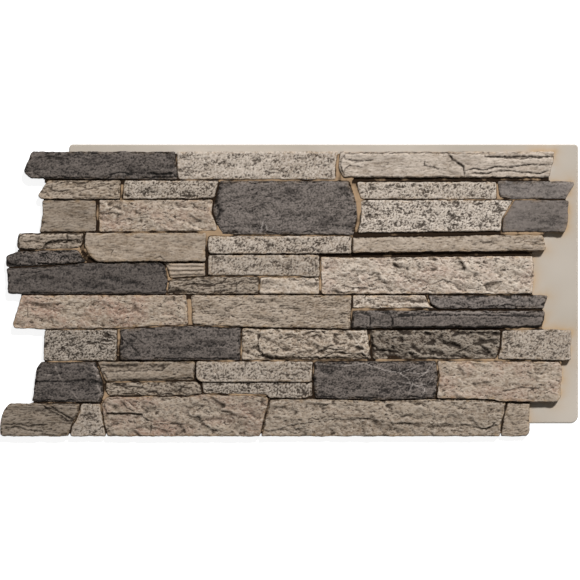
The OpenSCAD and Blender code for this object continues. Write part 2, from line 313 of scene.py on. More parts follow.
def stone_grid(ring):
    """A grid of points that fills an outline between the four points nearest its box's corners."""
    low, high = ring.min(0), ring.max(0)
    s = (ring - low) / (high - low)
    picks = [int(np.argmax(s @ np.array(w))) for w in ((-1, -1), (1, -1), (1, 1), (-1, 1))]

    def chain(a, b, n):
        points = [ring[a]]
        while a != b:
            a = (a + 1) % len(ring)
            points.append(ring[a])
        points = np.array(points)
        run = np.append(0, np.cumsum(np.linalg.norm(np.diff(points, axis=0), axis=1)))
        t = np.linspace(0, run[-1], n)
        return np.stack([np.interp(t, run, points[:, 0]), np.interp(t, run, points[:, 1])], -1)

    nu, nv = (max(6, int(size / PITCH)) for size in high - low)
    foot, right = chain(picks[0], picks[1], nu), chain(picks[1], picks[2], nv)
    head, left = chain(picks[2], picks[3], nu)[::-1], chain(picks[3], picks[0], nv)[::-1]
    u, v = np.linspace(0, 1, nu)[:, None, None], np.linspace(0, 1, nv)[None, :, None]
    grid = (1 - v) * foot[:, None] + v * head[:, None] + (1 - u) * left[None] + u * right[None]
    grid -= (1 - u) * (1 - v) * foot[0] + u * (1 - v) * foot[-1] + (1 - u) * v * head[0] + u * v * head[-1]
    return grid[..., 0], grid[..., 1]


def tilted(y, ring, level_top, level_bottom):
    """Height of a face that is tilted from one level at the outline's top to another at its bottom."""
    low, high = ring[:, 1].min(), ring[:, 1].max()
    level = level_bottom + (level_top - level_bottom) * (y - low) / (high - low)
    return LOW_FACE + level * (HIGH_FACE - LOW_FACE)


def stone(name, coat, level_top, level_bottom, outline, layers=(), cracks=(), scars_and_highlights=(), fade=0.0, pink=0.0,
          rough=1.0, tone=1.0):
    """One moulded stone. A level is 0 for the lowest face and 1 for the highest, at an outline's top and
    bottom. The coat is a material, the function for its relief, its slot, which is not used, and the
    length, height and lean
    of its tooth. Layers are raised slabs (two levels, outline), cracks are grooves (points, width, depth)
    and scars_and_highlights are pale bruises and, along a top edge, painted highlight where the light
    catches it (points, width, how much paler). Fade is how far in mm the rims of the
    layers run out in places, pink the coat's tint, rough the strength of the relief, and tone how light
    the coat is."""
    seed = int(np.sum(outline)) % 9000
    ring = softened(inset(placed(outline), EDGE_GAP), CORNER_CUT)
    OUTLINES.append((ring, level_top, level_bottom))
    material, relief, slot, (long, high, lean) = coat
    x, y = stone_grid(ring)
    d = np.maximum(edge_distance(x, y, ring), 0)
    height = tilted(y, ring, level_top, level_bottom)
    for layer_top, layer_bottom, shape in layers:
        rim = placed(shape)
        stray = min(3, 0.12 * np.ptp(rim[:, 1]))
        inside = edge_distance(x + stray * fractal(x / 12, y / 12, seed + 12, 3),
                               y + stray * fractal(x / 12, y / 12, seed + 13, 3), rim)
        raised = tilted(y, rim, layer_top, layer_bottom)
        run_out = LAYER_EDGE_W + 1.6 * fade * step(-0.2, 0.2, fractal(x / 45, y / 30, seed + 19, 2))
        rise = np.clip(inside / run_out, 0, 1)
        height = np.where(inside > 0, height + np.maximum(raised - height, 0) * (0.4 + 0.6 * rise), height)
    grain, wash_and_painted_shade, light = relief(x, y, d, seed)
    tooth = fractal((x + lean * y) / long, y / high, seed + 20, 2, 0.8)
    pillow = 1 - np.clip(d / PILLOW_W, 0, 1)
    z = height - PILLOW_H * (1 - np.sqrt(1 - pillow * pillow))
    z += rough * (grain + 0.6 * tooth) * step(-2, 4, d)
    crack = np.zeros(x.shape)
    for line, width, depth in cracks:
        near, below, taper = line_distance(x + 1.6 * fractal(x / 9, y / 9, seed + 14, 3),
                                           y + 1.6 * fractal(x / 9, y / 9, seed + 15, 3), placed(line))
        taper = taper * np.clip(0.8 + 0.9 * fractal(x / 12, y / 12, seed + 16, 2), 0.15, 1)
        groove = np.exp(-((near / (0.75 * width)) ** 2)) * taper
        crack = np.maximum(crack, groove)
        z = z - depth * (0.8 * groove + 0.8 * below * taper * np.exp(-near / 9))
    scar_and_highlight = np.zeros(x.shape)
    for line, width, paler in scars_and_highlights:
        near, _, taper = line_distance(x + 2 * fractal(x / 5, y / 5, seed + 16, 2), y, placed(line))
        pale_mark = np.exp(-((near / width) ** 2)) * taper
        scar_and_highlight = np.maximum(scar_and_highlight, pale_mark)
        tone = tone * (1 + paler * pale_mark)
    z = z + SCAR_H * scar_and_highlight
    # The dark wash is the coat's own in pits, hollows and cracks, and in the wider hollows and the cracks
    # it also stands in for painted shade; the pale dry brush sits on the crests.
    hollow = sum(np.clip((blur(z, cells) - z) / deep, 0, 1)
                 for cells, deep in ((1, 0.7), (3, 1.8), (6, 4.5)))
    proud = np.clip((z - blur(z, 1)) / 0.6, 0, 1)
    # Painted shade: the rims on the sides turned away from the sun, the bottom and left, are darkened in
    # the colour, patchily.
    shaded = step(0.0, 0.4, edge_distance(x + 0.25, y + 0.45, ring) - edge_distance(x, y, ring))
    rim_painted_shade = step(3.0, 0.3, d) * shaded * (0.2 + 0.9 * fractal(x / 12, y / 9, seed + 9, 3))
    wash_and_painted_shade = np.clip(rough * (0.4 * hollow + 0.4 * step(0.1, 0.5, -tooth)) + wash_and_painted_shade + 0.9 * crack, 0, 0.95)
    wash_and_painted_shade = np.maximum(wash_and_painted_shade, np.clip(rim_painted_shade, 0, 0.9))
    light = np.clip(rough * (0.4 * proud + 0.5 * step(0.1, 0.5, tooth)) + light + 1.2 * scar_and_highlight, 0, 0.9)
    light = light * (1 - wash_and_painted_shade)
    ragged = 1 + 0.8 * fractal(x / 14, y / 14, seed + 11, 3)
    t = 1 - np.clip(d / (BROKEN_EDGE_W * ragged), 0, 1)
    z -= BROKEN_EDGE_H * (1 - np.sqrt(1 - t * t))
    shift_x = RIM_WANDER * fractal(x / 26, y / 26, seed + 17, 4, 0.65)
    shift_y = RIM_WANDER * fractal(x / 26, y / 26, seed + 18, 4, 0.65)
    foot = np.where((x < REACH) | (y < DROP), LAP_Z, FLANGE_T - 1)
    piece = relief_mesh(name, x + shift_x, y + shift_y, np.clip(z, LAP_Z + 1, THICK + 1.5), foot, {
        "wash_and_painted_shade": wash_and_painted_shade, "light": light, "rim": step(9, 0.5, d), "tone": tone, "pink": pink})
    piece.data.materials.append(material)
    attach(piece, "root")
    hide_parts("panel")


def stone_coat(name, base, cloud, pale, dark, grain_mm, grain_long, flecks, stain):
    """Matt sprayed coat on foam: a cloudy base colour with pale grain of a size in mm and a length, an
    ochre stain along the rim, and the dark wash with painted shade and the pale dry brush that the mesh
    carries. Flecks are (mm, how long, share, strength, colour)."""
    material = bpy.data.materials.new(name)
    material.use_nodes = True
    tree = material.node_tree
    place = add(tree, "TexCoord")["Object"]
    given = {key: add(tree, "Attribute", attribute_name=key)["Fac"]
             for key in ("wash_and_painted_shade", "light", "rim", "pink", "tone")}
    layers = [(55, 1.6, 0.4, 0.62, 1.0, cloud, None),
              (grain_mm, grain_long, 0.38, 0.72, 0.6, pale, None),
              (38, 1.3, 0.45, 0.65, 0.5, "#a57e6e", given["pink"]),
              (20, 1.0, 0.45, 0.62, stain, "#b08a55", given["rim"])]
    layers += [(size, long, 1 - share, 1.12 - share, strength, colour, None)
               for size, long, share, strength, colour in flecks]
    colour = linear(base)
    for k, (size, long, low, high, strength, over, mask) in enumerate(layers):
        at = add(tree, "Mapping", {"Vector": place, "Location": (3.7 * k, 1.3 * k, 0),
                                   "Scale": (1000 / size / long, 1000 / size, 1000 / size)})[0]
        value = add(tree, "TexNoise", {"Vector": at, "Scale": 1.0, "Detail": 3.0})["Fac"]
        value = add(tree, "MapRange", {"Value": value, "From Min": low, "From Max": high,
                                       "To Max": strength})[0]
        if mask:
            value = add(tree, "Math", {0: value, 1: mask}, operation="MULTIPLY")[0]
        colour = add(tree, "Mix", {0: value, 6: colour, 7: linear(over)}, data_type="RGBA")[2]
    colour = add(tree, "Mix", {0: given["light"], 6: colour, 7: linear(pale)}, data_type="RGBA")[2]
    colour = add(tree, "Mix", {0: given["wash_and_painted_shade"], 6: colour, 7: linear(dark)}, data_type="RGBA")[2]
    colour = add(tree, "VectorMath", {0: colour, "Scale": given["tone"]}, operation="SCALE")[0]
    # A lighter coat holds more white, so its colour is weaker.
    richness = add(tree, "MapRange", {"Value": given["tone"], "From Min": 0.9, "From Max": 1.3,
                                      "To Min": 1.05, "To Max": 0.82})[0]
    colour = add(tree, "HueSaturation", {"Color": colour, "Saturation": richness})[0]
    tooth = add(tree, "TexNoise", {"Vector": place, "Scale": 650.0, "Detail": 3.0})["Fac"]
    bump = add(tree, "Bump", {"Height": tooth, "Strength": 0.5, "Distance": 0.0004})[0]
    shader = tree.nodes["Principled BSDF"]
    tree.links.new(colour, shader.inputs["Base Color"])
    tree.links.new(bump, shader.inputs["Normal"])
    shader.inputs["Roughness"].default_value = 0.85
    shader.inputs["Specular IOR Level"].default_value = 0.25
    return material


def cleft(x, y, d, seed):
    """Relief of cleft slate, with its dark wash and pale dry brush."""
    bx, by = bent(x, y, seed, 34, 7)
    z = blur(facets(bx + 0.5 * by, by, 52, 24, 0.13, 0.6, seed + 1), 2)
    z += blur(facets(bx - 0.4 * by, by, 19, 10, 0.13, 0.3, seed + 2), 1)
    z += 0.9 * fractal(x / 13, y / 8, seed + 3, 4, 0.6)
    z += 0.8 * fractal(bx / 7, by / 4, seed + 4, 3, 0.7, True)
    sheet = fractal(bx / 40, by / 10, seed + 5, 4) + 0.6 * step(11, 1, d)
    z -= 1.7 * step(0.5, 0.57, sheet) + 1.1 * step(0.75, 0.8, sheet)
    cloud = fractal(x / 60, y / 28, seed + 8, 3)
    streak = fractal(bx / 18, by / 4.5, seed + 7, 4, 0.65)
    brushed = step(0.0, 0.5, fractal(bx / 5.5, by / 4, seed + 6, 3, 0.7, True) - 0.8 * cloud)
    return z, 0.45 * step(0.0, 0.5, streak + 0.7 * cloud), 0.5 * brushed


CHARCOAL = (stone_coat("matt_charcoal_coat", "#544d49", "#3f3935", "#857b74", "#120e0b", 8, 1.4,
                       [(5.0, 1.3, 0.42, 0.6, "#8a8078"), (5.5, 1.3, 0.42, 0.6, "#2b2522")], 0.25),
            cleft, "charcoal_stone", (4.8, 4.0, 0.3))
stone("a1_charcoal", CHARCOAL, 0.6, 0.7, [(66, 551), (383, 549), (379, 611), (70, 611), (51, 566)],
      cracks=[([(314, 564), (345, 561), (378, 564)], 3.2, 4.0),
              ([(232, 560), (262, 566), (285, 560)], 2.0, 2.5),
              ([(74, 597), (113, 599), (150, 594)], 1.3, 1.0)],
      rough=1.3, tone=0.7)
stone("b4_charcoal", CHARCOAL, 0.4, 0.6,
      [(1072, 512), (1100, 507), (1215, 507), (1235, 541), (1232, 546), (1205, 548), (1067, 548)],
      rough=0.6, tone=1.2)
stone("c3_charcoal", CHARCOAL, 0.8, 0.7,
      [(479, 432), (761, 430), (769, 473), (766, 505), (757, 530), (749, 548), (474, 548), (461, 505),
       (458, 484), (465, 458)],
      cracks=[([(474, 536), (464, 505), (476, 484), (468, 466)], 7, 5.0)],
      scars_and_highlights=[([(560, 437), (567, 462)], 1.7, 0.8),
             ([(576, 438), (572, 457)], 1.5, 0.8),
             ([(583, 441), (590, 452)], 1.4, 0.8)],
      rough=1.1, tone=1)
stone("c5_charcoal", CHARCOAL, 0.6, 0.7,
      [(1077, 437), (1214, 437), (1221, 458), (1222, 507), (1105, 507), (1079, 466)],
      rough=0.3, tone=1.05)
stone("d2_charcoal", CHARCOAL, 0.4, 0.6,
      [(15, 362), (107, 366), (190, 373), (168, 401), (106, 400), (40, 397), (13, 388)],
      rough=2.2, tone=0.75)
stone("d3_charcoal", CHARCOAL, 0.3, 0.6,
      [(18, 304), (359, 304), (363, 333), (356, 366), (345, 374), (192, 373), (107, 366), (15, 361)],
      cracks=[([(50, 351), (82, 353), (115, 358)], 1.6, 1.5)],
      rough=1.2, tone=0.55)
stone("e4_charcoal", CHARCOAL, 0.4, 0.7, [(940, 273), (1168, 273), (1180, 304), (917, 304), (925, 284)],
      cracks=[([(1070, 278), (1089, 284), (1109, 278), (1141, 280)], 1.8, 2.0)],
      rough=1.3, tone=1.05)
stone("e5_charcoal", CHARCOAL, 0.4, 0.5,
      [(754, 230), (795, 231), (1163, 233), (1168, 242), (1173, 271), (757, 271)],
      layers=[(0.8, 0.9, [(758, 233), (793, 234), (796, 258), (780, 263), (760, 263)]),
              (0.8, 1, [(842, 235), (947, 236), (1033, 235), (1162, 237), (1166, 255), (1076, 258),
                        (947, 260), (888, 258), (844, 255)])],
      cracks=[([(795, 265), (797, 237)], 1.3, 1.5),
              ([(838, 265), (847, 234)], 1.3, 1.8),
              ([(886, 263), (890, 234)], 1.3, 1.5)],
      # The pale band along the top edge is a painted highlight where the light catches the edge, on a
      # slight rise.
      scars_and_highlights=[([(760, 267), (850, 267), (1000, 266), (1150, 267)], 3.5, 0.4)],
      rough=1.2, tone=0.8)
stone("f2_charcoal", CHARCOAL, 0.5, 0.6,
      [(258, 163), (518, 163), (519, 234), (411, 239), (324, 235), (259, 231)],
      cracks=[([(264, 209), (285, 193), (300, 178)], 2.0, 1.5),
              ([(277, 224), (298, 209), (313, 198)], 2.0, 1.2)],
      rough=1.3, tone=0.75)
stone("g1_charcoal", CHARCOAL, 0.4, 0.6,
      [(69, 74), (216, 73), (226, 90), (221, 125), (207, 162), (88, 161), (80, 148)],
      layers=[(0.8, 0.8, [(79, 120), (125, 118), (179, 124), (217, 120), (215, 131), (207, 152), (177, 157),
                          (95, 157), (86, 144)])],
      cracks=[([(77, 119), (106, 120), (134, 117)], 2.0, 2.0)],
      scars_and_highlights=[([(121, 157), (123, 142), (134, 121)], 1.8, 0.8),
             ([(183, 147), (192, 139), (217, 131)], 1.6, 0.8),
             ([(154, 96), (163, 88), (172, 79)], 1.6, 0.8),
             ([(198, 158), (213, 140), (209, 110), (220, 96), (212, 79)], 2.2, 0.8),
             ([(91, 136), (104, 132), (119, 135)], 1.4, 0.8)],
      fade=10, rough=1.4, tone=0.6)
stone("g6_charcoal", CHARCOAL, 0.7, 0.6,
      [(676, 82), (818, 78), (936, 82), (942, 128), (937, 163), (676, 162), (673, 128)],
      scars_and_highlights=[([(856, 154), (861, 135), (878, 122), (882, 109)], 1.2, 0.8),
             ([(878, 139), (904, 135), (929, 143)], 1.1, 0.8),
             ([(887, 113), (912, 101), (920, 88)], 1.1, 0.8),
             ([(843, 122), (869, 101)], 1.0, 0.8),
             ([(689, 156), (732, 150), (783, 157), (826, 142), (861, 137), (900, 152)], 0.9, 0.8),
             ([(861, 118), (895, 109), (921, 114), (934, 131)], 0.9, 0.8),
             ([(878, 88), (887, 118), (912, 135), (930, 158)], 0.9, 0.8),
             ([(904, 84), (912, 101), (904, 122)], 0.9, 0.8)],
      rough=1.4, tone=0.85)


# Speckled stones are moulded from flame-textured granite: a flat face with small pits that crowd in
# clouds. The dark wash is wiped off the buff coat and stays in the pits.
def pitted(x, y, d, seed):
    """Relief of flame-textured granite, with its wash and dry brush."""
    bx, by = bent(x, y, seed, 26, 4)
    z = blur(facets(bx, by, 36, 15, 0.12, 0.4, seed + 1), 2)
    crowd = 0.65 * fractal(x / 30, y / 17, seed + 2, 3) - 0.2 * step(7, 1, d)
    pits = step(0.0, 0.35, fractal(bx / 5.6, by / 4.2, seed + 3, 3, 0.7) + crowd)
    dents = step(0.1, 0.6, fractal(bx / 15, by / 8, seed + 4, 4) + crowd)
    z -= 0.9 * pits + 1.3 * dents
    filled = step(-0.45, 0.2, fractal(x / 7, y / 5, seed + 7, 2))
    brushed = step(0.0, 0.4, fractal(x / 6, y / 4, seed + 6, 3) - 0.6 * crowd)
    return z, 0.7 * pits * filled + 0.15 * dents, 0.6 * brushed


SPECKLED = (stone_coat("matt_buff_coat_pitted", "#ad9f90", "#968676", "#cbbfb2", "#3d342c", 7, 1.3,
                       [(2.6, 1.3, 0.36, 0.75, "#554a40"), (3.4, 1.2, 0.36, 0.6, "#cdc3b5")], 0.35),
            pitted, "speckled_stone", (4.6, 4.2, 0.0))
stone("a2_speckled", SPECKLED, 0.4, 0.4, [(383, 549), (724, 549), (722, 575), (728, 611), (379, 611)],
      tone=1.05)
stone("b2_speckled", SPECKLED, 0.4, 0.5, [(264, 507), (463, 509), (473, 549), (267, 549)],
      rough=1.7, tone=0.85)
stone("b3_speckled", SPECKLED, 0.3, 0.5, [(774, 507), (1068, 507), (1067, 546), (765, 546)],
      rough=1.4, tone=1)
stone("c4_speckled", SPECKLED, 0.5, 0.9,
      [(767, 435), (1076, 439), (1078, 464), (1104, 507), (775, 507), (774, 460)],
      rough=1.8, tone=1.1)
stone("d8_speckled", SPECKLED, 0.6, 0.7, [(449, 390), (757, 391), (757, 430), (449, 430), (445, 410)],
      rough=1.4, tone=0.95)
stone("d9_speckled", SPECKLED, 0.3, 0.5, [(446, 344), (580, 344), (688, 341), (688, 390), (448, 390)],
      rough=1.1, tone=0.85)
stone("f1_speckled", SPECKLED, 0.4, 0.4, [(95, 161), (253, 162), (254, 231), (98, 230), (94, 193)],
      cracks=[([(190, 198), (212, 202), (229, 198), (249, 200)], 1.5, 2.0)],
      rough=2.2, tone=0.65)
stone("f5_speckled", SPECKLED, 0.4, 0.7,
      [(1068, 166), (1149, 163), (1227, 162), (1228, 230), (1164, 231), (1078, 228), (1076, 196)],
      rough=1.1, tone=0.85)
stone("g4_speckled", SPECKLED, 0.6, 0.8, [(430, 117), (672, 116), (674, 162), (422, 162), (421, 125)],
      rough=1.2, tone=0.8)
stone("g5_speckled", SPECKLED, 0.2, 0.4,
      [(437, 92), (570, 90), (580, 82), (650, 81), (673, 86), (673, 119), (433, 119)],
      rough=2, tone=0.7)
stone("h2_speckled", SPECKLED, 0.3, 0.4,
      [(151, 0), (231, 0), (222, 35), (218, 72), (176, 73), (171, 50), (156, 24)],
      rough=1.1, tone=0.75)


# Ledge stones are moulded from bedded sandstone: long smooth planes that break along the bed into thin
# steps, with a faint grain, a tan coat and dark cracks.
def terraces(value, sharp):
    """A smooth value made into flat steps with short steep risers."""
    whole = np.floor(value)
    return whole + step(1 - sharp, 1, value - whole)


def grained(x, y, d, seed):
    """Relief of bedded sandstone, with its wash and dry brush."""
    bx, by = bent(x, y, seed, 60, 9)
    z = blur(facets(bx, by, 95, 20, 0.1, 0.4, seed + 1), 2)
    grain = fractal(bx / 26, by / 3.0, seed + 3, 4, 0.6)
    z += 0.8 * grain + 0.7 * fractal(x / 17, y / 10, seed + 8, 4, 0.6)
    torn = 2.2 * fractal(bx / 38, by / 9, seed + 4, 4, 0.55) + 0.8 * step(10, 0, d)
    z -= 1.1 * terraces(np.clip(torn, 0, 3), 0.25)
    z += 0.45 * fractal(x / 4, y / 3, seed + 5, 3, 0.7)
    crowd = fractal(x / 34, y / 18, seed + 7, 2)
    spots = step(0.35, 0.6, fractal(x / 5, y / 3.5, seed + 6, 3, 0.7) + 0.4 * crowd)
    return z, 0.4 * step(0.05, 0.45, -grain) + 0.4 * spots, 0.45 * step(0.1, 0.45, grain)


LEDGE = (stone_coat("matt_tan_coat_grained", "#a39382", "#8f7e6c", "#bcae9f", "#3a3027", 9, 3.0,
                    [(3.0, 2.2, 0.36, 0.5, "#6b5d4e"), (4.0, 2.0, 0.36, 0.5, "#c2b6a5")], 0.35),
         grained, "tan_stone", (10.0, 3.6, 0.0))
stone("a3_ledge", LEDGE, 0.4, 0.6, [(737, 553), (1181, 553), (1194, 611), (730, 611), (726, 575)],
      layers=[(0.8, 0.9, [(741, 555), (1180, 555), (1189, 598), (1119, 593), (1044, 598), (1029, 604),
                          (925, 606), (741, 605), (733, 587), (735, 569)])],
      cracks=[([(960, 608), (968, 600), (972, 593), (996, 578), (998, 559)], 3.0, 4.0),
              ([(912, 593), (912, 580), (931, 576), (947, 572)], 1.6, 1.6),
              ([(739, 604), (741, 593), (784, 589), (806, 593)], 1.8, 2.0),
              ([(1040, 606), (1044, 599), (1089, 598), (1119, 600), (1154, 598), (1184, 600)], 2.8, 3.5),
              ([(741, 562), (741, 574), (752, 580), (780, 576)], 1.5, 1.5),
              ([(1001, 568), (1016, 574), (1037, 570), (1068, 578), (1098, 576), (1141, 583),
                (1179, 582)], 2.0, 3.0),
              ([(1012, 563), (1042, 563), (1076, 570), (1111, 567), (1158, 563), (1179, 570)], 2.0, 3.0)],
      rough=0.8, tone=1.3)
stone("b1_ledge", LEDGE, 0.3, 0.6, [(87, 507), (260, 507), (263, 549), (103, 549), (81, 517)],
      cracks=[([(115, 543), (112, 531), (119, 524), (158, 528)], 1.3, 1.5),
              ([(169, 524), (201, 533), (238, 541)], 1.3, 1.3)],
      rough=1.5, tone=0.9)
stone("c1_ledge", LEDGE, 0.3, 0.3, [(85, 437), (209, 437), (209, 507), (92, 507), (93, 480)],
      rough=0.9, tone=0.7)
stone("d1_ledge", LEDGE, 0.1, 0.3,
      [(42, 398), (105, 400), (172, 402), (180, 412), (183, 437), (40, 437), (37, 411)],
      layers=[(0.6, 0.6, [(44, 402), (91, 401), (99, 412), (110, 418), (177, 418), (178, 432), (145, 433),
                          (43, 433)])],
      cracks=[([(145, 437), (146, 428), (147, 418)], 3.4, 5.0),
              ([(94, 403), (101, 413), (111, 419), (145, 420), (178, 420)], 2.2, 3.5),
              ([(44, 416), (70, 419), (92, 417)], 1.4, 2.0)],
      rough=1.8, tone=0.8)
stone("d4_ledge", LEDGE, 0.6, 0.9,
      [(211, 373), (443, 374), (445, 437), (184, 437), (182, 408), (193, 384)],
      cracks=[([(223, 399), (244, 399), (238, 384)], 1.1, 1.0),
              ([(335, 381), (346, 386), (354, 381)], 2.2, 2.5)],
      rough=0.8, tone=0.9)
stone("d5_slabs", LEDGE, 0.0, 0.0, [(366, 338), (444, 342), (443, 374), (346, 374), (357, 366)],
      layers=[(0.3, 0.3, [(366, 365), (440, 365), (440, 371), (358, 371)]),
              (0.4, 0.4, [(364, 356), (440, 356), (440, 362), (363, 362)]),
              (0.3, 0.3, [(366, 346), (440, 347), (440, 353), (366, 353)])],
      rough=0.4)
stone("d6_split", LEDGE, 0.4, 0.6,
      [(359, 304), (556, 304), (559, 343), (445, 343), (366, 338), (361, 322)],
      cracks=[([(521, 336), (510, 325), (508, 314), (516, 308)], 1.6, 2.0),
              ([(385, 321), (417, 327), (454, 323), (488, 332)], 1.6, 1.6)],
      rough=2.2, tone=0.7)
stone("d10_ledge", LEDGE, 0.6, 1,
      [(757, 393), (1170, 397), (1174, 402), (1167, 433), (1076, 433), (757, 428)],
      cracks=[([(757, 429), (850, 430), (960, 433), (1076, 436)], 4.5, 4.0)],
      rough=1, tone=1)
stone("e2_ledge", LEDGE, 0.3, 0.5, [(414, 239), (518, 234), (754, 230), (757, 304), (410, 304)],
      cracks=[([(437, 276), (443, 267), (454, 269)], 1.1, 1.0)],
      rough=1.3, tone=0.95)
stone("g2_ledge", LEDGE, 0.1, 0.2,
      [(228, 117), (323, 118), (420, 121), (422, 162), (209, 162), (222, 128)],
      layers=[(0.5, 0.6, [(233, 122), (298, 123), (416, 126), (417, 157), (367, 157), (352, 142),
                          (277, 139), (224, 139), (230, 130)])],
      cracks=[([(222, 154), (262, 152), (300, 155)], 4.5, 3.0),
              ([(326, 154), (345, 152), (362, 156)], 4.0, 3.0)],
      fade=6, rough=1.1, tone=0.7)
stone("g3_ledge", LEDGE, 0.4, 0.5,
      [(236, 87), (410, 87), (437, 92), (434, 112), (421, 120), (323, 118), (228, 117), (227, 97)],
      cracks=[([(246, 115), (272, 106), (292, 108), (318, 103)], 1.8, 2.5),
              ([(315, 98), (335, 96), (345, 89)], 2.4, 3.5),
              ([(324, 118), (322, 106)], 1.2, 1.2)],
      rough=2.2, tone=0.7)
stone("h1_ledge", LEDGE, 0.4, 0.5,
      [(5, 0), (150, 0), (155, 24), (171, 50), (175, 73), (22, 73), (9, 60), (0, 20), (0, 8)],
      layers=[(0.7, 0.7, [(152, 34), (166, 51), (170, 68), (97, 68), (104, 60), (128, 49)])],
      cracks=[([(91, 72), (100, 64), (116, 59)], 2.0, 2.5),
              ([(108, 69), (129, 53), (159, 38)], 2.2, 3.0),
              ([(8, 26), (42, 28), (62, 23), (85, 26), (106, 26)], 2.0, 2.5),
              ([(11, 20), (42, 22), (62, 16), (94, 13)], 1.8, 2.0)],
      rough=1.3, tone=0.55)
stone("h5_ledge", LEDGE, 0.0, 0.0, [(1075, 0), (1133, 0), (1139, 8), (1139, 73), (1090, 75), (1080, 32)],
      rough=1.2, tone=0.9)


# Split stones are moulded from chisel-split quartzite: small broken planes tilted any way, with short
# dark chips between them, a tan coat and, on some, a pink tint.
def split(x, y, d, seed):
    """Relief of chisel-split quartzite, with its wash and dry brush."""
    bx, by = bent(x, y, seed, 30, 6)
    lean = bx + 0.8 * by
    wild = step(-0.25, 0.25, fractal(x / 70, y / 30, seed + 9, 2))
    z = blur(facets(lean, by, 52, 22, 0.18, 1.0, seed + 1), 1)
    z += (0.4 + 0.6 * wild) * blur(facets(bx - 0.5 * by, by, 17, 9, 0.26, 0.8, seed + 2), 1)
    z += 0.9 * fractal(lean / 9, by / 5, seed + 3, 4, 0.7) + 1.0 * fractal(x / 20, y / 12, seed + 4, 3)
    crease = step(0.8, 0.95, fractal(bx / 17, by / 12, seed + 7, 3, 0.6, True)) * wild
    chips = step(0.3, 0.5, fractal(lean / 15, by / 4.5, seed + 6, 4, 0.65) + 0.15 * wild)
    z += 0.5 * crease - 1.4 * chips
    brushed = step(0.05, 0.45, fractal(lean / 6, by / 3.4, seed + 5, 3, 0.7))
    return z, 0.75 * chips, 0.4 * crease + 0.4 * brushed


SPLIT = (stone_coat("matt_tan_coat_split", "#a69583", "#8f7c6a", "#cabdae", "#3a3027", 8, 1.5,
                    [(2.8, 1.6, 0.38, 0.65, "#5c5044"), (3.4, 1.4, 0.38, 0.6, "#cfc5b6")], 0.4),
         split, "tan_stone", (7.0, 3.8, 1.0))
stone("c2_split", SPLIT, 0.3, 0.6,
      [(213, 437), (467, 439), (469, 448), (457, 480), (461, 508), (213, 507)],
      cracks=[([(225, 477), (244, 480), (262, 474)], 1.6, 2.0),
              ([(263, 463), (277, 465), (290, 463)], 1.6, 2.0),
              ([(295, 468), (312, 470), (330, 467)], 1.6, 2.0)],
      pink=0.6, rough=1, tone=0.95)
stone("d7_split", SPLIT, 0.4, 0.5, [(556, 304), (688, 304), (688, 341), (559, 343)],
      tone=1.1)
stone("d11_split", SPLIT, 0.1, 0.6,
      [(689, 304), (1144, 305), (1149, 345), (1146, 388), (757, 384), (689, 386)],
      cracks=[([(925, 325), (951, 336), (979, 327)], 1.5, 2.0),
              ([(730, 325), (756, 319), (795, 317)], 1.5, 2.0)],
      pink=0.6, rough=1.1, tone=1.15)
stone("e1_split", SPLIT, 0.4, 0.5,
      [(31, 231), (90, 229), (256, 231), (324, 235), (407, 239), (403, 304), (48, 304), (28, 242)],
      cracks=[([(61, 278), (63, 256), (97, 254)], 1.1, 1.2)],
      pink=1.0, rough=1, tone=0.9)
stone("e3_split", SPLIT, 0.3, 0.4, [(757, 274), (938, 274), (923, 284), (915, 304), (757, 304)],
      cracks=[([(817, 291), (849, 286), (882, 293), (903, 286)], 1.3, 1.5)],
      rough=1.1, tone=1.15)
stone("f3_split", SPLIT, 0.1, 0.2, [(519, 163), (799, 165), (791, 231), (754, 229), (519, 233)],
      layers=[(0.5, 0.8, [(562, 178), (590, 170), (794, 170), (792, 202), (788, 227), (709, 229),
                          (562, 230), (555, 204)])],
      cracks=[([(666, 215), (683, 217), (696, 211)], 2.0, 2.5),
              ([(601, 193), (622, 185)], 1.8, 1.8),
              ([(687, 183), (720, 198), (741, 200)], 1.6, 2.0),
              ([(668, 175), (700, 187), (748, 188)], 1.6, 2.0),
              ([(690, 170), (720, 181), (757, 178)], 1.6, 2.0),
              ([(552, 190), (566, 178), (590, 173), (607, 166)], 3.0, 3.5)],
      scars_and_highlights=[([(749, 226), (764, 206), (777, 187), (788, 170)], 1.5, 0.1),
             ([(757, 223), (781, 225), (777, 206), (764, 193)], 1.3, 0.1),
             ([(783, 223), (788, 195)], 1.3, 0.1)],
      fade=8, rough=1.5, tone=0.9)
stone("f4_split", SPLIT, 0.0, 0.5, [(800, 165), (1066, 166), (1075, 195), (1077, 230), (792, 229)],
      cracks=[([(802, 166), (798, 200), (793, 228)], 3.0, 3.0),
              ([(799, 224), (802, 196), (815, 187), (842, 184)], 3.0, 3.5),
              ([(809, 187), (856, 182), (861, 174)], 2.0, 2.5),
              ([(938, 212), (964, 195)], 2.8, 3.0),
              ([(1030, 198), (1050, 181)], 3.0, 3.5),
              ([(979, 182), (1004, 170)], 2.8, 3.0),
              ([(973, 217), (1016, 223), (1067, 225)], 2.5, 3.0),
              ([(977, 178), (1011, 195), (1033, 204), (1071, 209)], 1.8, 2.5)],
      rough=2, tone=0.5)
stone("g7_split", SPLIT, 0.5, 0.8,
      [(937, 82), (1056, 79), (1078, 75), (1196, 73), (1205, 84), (1208, 150), (1200, 162), (938, 163),
       (943, 128)],
      cracks=[([(1076, 96), (1119, 107), (1163, 103)], 1.5, 1.8)],
      pink=0.8, rough=0.9, tone=0.95)
